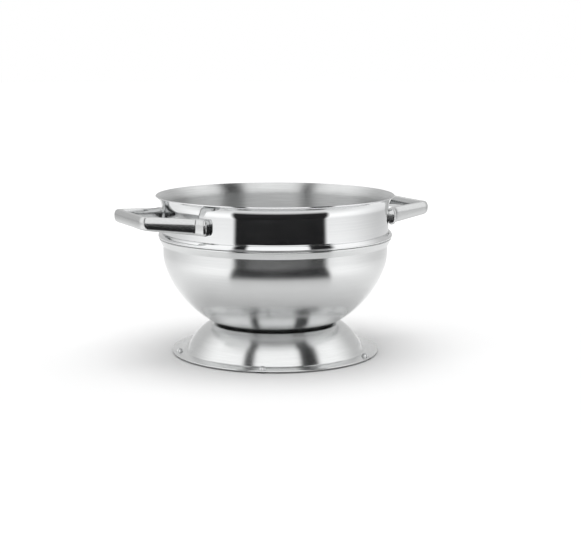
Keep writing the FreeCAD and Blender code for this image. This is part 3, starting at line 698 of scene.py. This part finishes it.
def smooth_step(tree, value, low, high):
    """0 below low, 1 above high and a smooth rise between; swapped, it falls."""
    up = low < high
    ends = (0.0, 1.0) if up else (1.0, 0.0)
    return add(tree, "ShaderNodeMapRange", {
        "Value": value, "From Min": min(low, high), "From Max": max(low, high),
        "To Min": ends[0], "To Max": ends[1]}, interpolation_type="SMOOTHSTEP").outputs[0]


def times(tree, *values):
    """Product of several values."""
    result = values[0]
    for value in values[1:]:
        result = add(tree, "ShaderNodeMath", {0: result, 1: value}, operation="MULTIPLY").outputs[0]
    return result


def combine(tree, first, by_first, second, by_second, plus=0.0):
    """Sum of two values, each times its own number, and a last number."""
    part = add(tree, "ShaderNodeMath", {0: first, 1: by_first}, operation="MULTIPLY").outputs[0]
    both = add(tree, "ShaderNodeMath", {0: second, 1: by_second, 2: part}, operation="MULTIPLY_ADD")
    return add(tree, "ShaderNodeMath", {0: both.outputs[0], 1: plus}, operation="ADD").outputs[0]


def bearing(tree, x, y, behind=0.0):
    """Angle from the camera's side, in degrees, growing anticlockwise from above, measured from a
    point on the axis or that far behind it."""
    middle = math.radians(CAMERA_AZIMUTH)
    across = combine(tree, x, math.cos(middle), y, math.sin(middle))
    ahead = combine(tree, x, math.sin(middle), y, -math.cos(middle), behind)
    angle = add(tree, "ShaderNodeMath", {0: across, 1: ahead}, operation="ARCTAN2").outputs[0]
    return add(tree, "ShaderNodeMath", {0: angle, 1: 180 / math.pi}, operation="MULTIPLY").outputs[0]


def off_axis(tree, place):
    """Distance of a place from the vertical axis and its bearing."""
    parts = add(tree, "ShaderNodeSeparateXYZ", {0: place})
    flat = add(tree, "ShaderNodeCombineXYZ", {0: parts.outputs[0], 1: parts.outputs[1]})
    reach = add(tree, "ShaderNodeVectorMath", {0: flat.outputs[0]}, operation="LENGTH").outputs["Value"]
    return reach, bearing(tree, parts.outputs[0], parts.outputs[1])


def flat_rings(radius, turn, height):
    """Level grid of points over distances from the axis and turns, in millimetres."""
    level = np.full((len(radius), len(turn)), height)
    return np.stack([np.outer(radius, np.cos(turn)), np.outer(radius, np.sin(turn)), level], -1) / MM


def make_floor():
    """Flat disc of rings and spokes, wide enough to run past every view."""
    spokes = np.linspace(0, 2 * math.pi, 64, endpoint=False)
    floor = grid_object("floor", flat_rings(np.array(FLOOR_RINGS), spokes, 0.0), False, True)
    if floor.data.polygons[0].normal.z < 0:
        floor.data.flip_normals()
    material, tree, shader, place = begin("floor_paper")
    # Matt white seamless paper: the steel sees it lit harder in front, and the eye far off
    shader.inputs["Base Color"].default_value = linear("#f2f2f2")
    shader.inputs["Roughness"].default_value = 1.0
    shader.inputs["Specular IOR Level"].default_value = 0.0
    shader.inputs["Emission Color"].default_value = (1, 1, 1, 1)
    reach, angle = off_axis(tree, place)
    aside = add(tree, "ShaderNodeMath", {0: angle}, operation="ABSOLUTE").outputs[0]
    path_kind = add(tree, "ShaderNodeLightPath")
    in_front = times(tree, smooth_step(tree, reach, *FLOOR_STEEL_GLOW_RISE),
                     smooth_step(tree, aside, *FLOOR_STEEL_GLOW_SIDES))
    steel_sees = times(tree, path_kind.outputs["Is Glossy Ray"], in_front, FLOOR_STEEL_GLOW)
    far_off = smooth_step(tree, reach, *FLOOR_EYE_GLOW_RISE)
    eye_sees = times(tree, path_kind.outputs["Is Camera Ray"], far_off, FLOOR_EYE_GLOW)
    glow = add(tree, "ShaderNodeMath", {0: steel_sees, 1: eye_sees}, operation="ADD").outputs[0]
    tree.links.new(glow, shader.inputs["Emission Strength"])
    dress(floor, material)


def make_flag():
    """Painted dark reflection: a faintly glowing dark sheet on the floor before the camera, from near the
    bowl outwards, that only the steel's reflections see: a sector of rings.
    """
    turn = np.radians(np.linspace(*FLAG_SECTOR, 90) + CAMERA_AZIMUTH - 90)
    sector = flat_rings(np.linspace(*FLAG_REACH, 40), turn, FLAG_HEIGHT)
    flag = grid_object("floor_flag", sector, False, False)
    material, tree, shader, place = begin("painted_dark_reflection")
    # Painted dark reflection: a faintly glowing dark sheet that only the steel's reflections see, darker
    # farther out and thinning to nothing at its edges
    reach, angle = off_axis(tree, place)
    reflection_dark_tone = add(tree, "ShaderNodeMix", {"Factor": smooth_step(tree, reach, *FLAG_DEEPENS),
                                        6: linear("#2a2a2b"), 7: linear("#202021")},
                data_type="RGBA").outputs[2]
    cover = times(tree, smooth_step(tree, reach, *FLAG_RISE), smooth_step(tree, angle, *FLAG_LEFT),
                  smooth_step(tree, angle, *FLAG_RIGHT))
    dark = add(tree, "ShaderNodeEmission", {"Color": reflection_dark_tone, "Strength": 1.0})
    clear = add(tree, "ShaderNodeBsdfTransparent")
    mixed = add(tree, "ShaderNodeMixShader", {0: cover, 1: clear.outputs[0], 2: dark.outputs[0]})
    tree.links.new(mixed.outputs[0], tree.nodes["Material Output"].inputs["Surface"])
    tree.nodes.remove(shader)
    dress(flag, material)
    flag.visible_camera = False
    flag.visible_diffuse = False
    flag.visible_shadow = False
    flag.visible_transmission = False


def make_world():
    """White surround. The steel also sees it brighter, with two dark panels hung upright in
    planes that meet behind the mill."""
    world = bpy.data.worlds.new("studio")
    bpy.context.scene.world = world
    world.cycles.sampling_method = "NONE"
    world.use_nodes = True
    tree = world.node_tree
    tree.nodes.clear()
    ray = add(tree, "ShaderNodeTexCoord").outputs["Generated"]
    parts = add(tree, "ShaderNodeSeparateXYZ", {0: ray})
    angle = bearing(tree, parts.outputs[0], parts.outputs[1], PANELS_MEET_BEHIND)
    left, right = [times(tree, *[smooth_step(tree, angle, *edge) for edge in panel])
                   for panel in (PANEL_LEFT, PANEL_RIGHT)]
    panels = add(tree, "ShaderNodeMath", {0: left, 1: right}, operation="ADD").outputs[0]
    panels = times(tree, panels, smooth_step(tree, parts.outputs[2], *PANELS_ABOVE))
    aside = add(tree, "ShaderNodeMath", {0: angle}, operation="ABSOLUTE").outputs[0]
    room = add(tree, "ShaderNodeMix", {"Factor": smooth_step(tree, aside, *ROOM_DIMS), 6: ROOM_BRIGHT,
                                       7: ROOM_SIDES}, data_type="RGBA").outputs[2]
    seen = add(tree, "ShaderNodeMix", {"Factor": panels, 6: room, 7: linear("#262627")},
               data_type="RGBA").outputs[2]
    path_kind = add(tree, "ShaderNodeLightPath")
    fill = add(tree, "ShaderNodeMix", {"Factor": path_kind.outputs["Is Diffuse Ray"], 6: (1, 1, 1, 1),
                                       7: ROOM_FILL}, data_type="RGBA").outputs[2]
    colour = add(tree, "ShaderNodeMix", {"Factor": path_kind.outputs["Is Glossy Ray"], 6: fill, 7: seen},
                 data_type="RGBA").outputs[2]
    back = add(tree, "ShaderNodeBackground", {"Color": colour, "Strength": 1.0})
    out = add(tree, "ShaderNodeOutputWorld")
    tree.links.new(back.outputs[0], out.inputs["Surface"])


def make_top_light():
    """Round soft light straight above: it gives the floor its soft shadow round the foot."""
    data = bpy.data.lights.new("top_light", "AREA")
    data.shape = "DISK"
    data.size = TOP_LIGHT_SIZE
    data.energy = TOP_LIGHT_WATTS
    light = bpy.data.objects.new("top_light", data)
    bpy.context.scene.collection.objects.link(light)
    light.location = (0, 0, TOP_LIGHT_HEIGHT)
    light.visible_camera = False
    light.visible_glossy = False


def make_camera():
    """Camera low before the mill, turned towards its left handle."""
    data = bpy.data.cameras.new("camera")
    data.sensor_width = 36.0
    data.lens = CAMERA_LENS
    data.shift_x = CAMERA_SHIFT
    camera = bpy.data.objects.new("camera", data)
    bpy.context.scene.collection.objects.link(camera)
    turn = math.radians(CAMERA_AZIMUTH)
    camera.location = (CAMERA_DISTANCE * math.sin(turn), -CAMERA_DISTANCE * math.cos(turn), CAMERA_HEIGHT)
    camera.rotation_euler = (math.radians(90 - CAMERA_PITCH), 0, turn)
    bpy.context.scene.camera = camera


make_floor()
make_flag()
make_world()
make_top_light()
make_camera()
bpy.context.scene.view_settings.view_transform = "Standard"
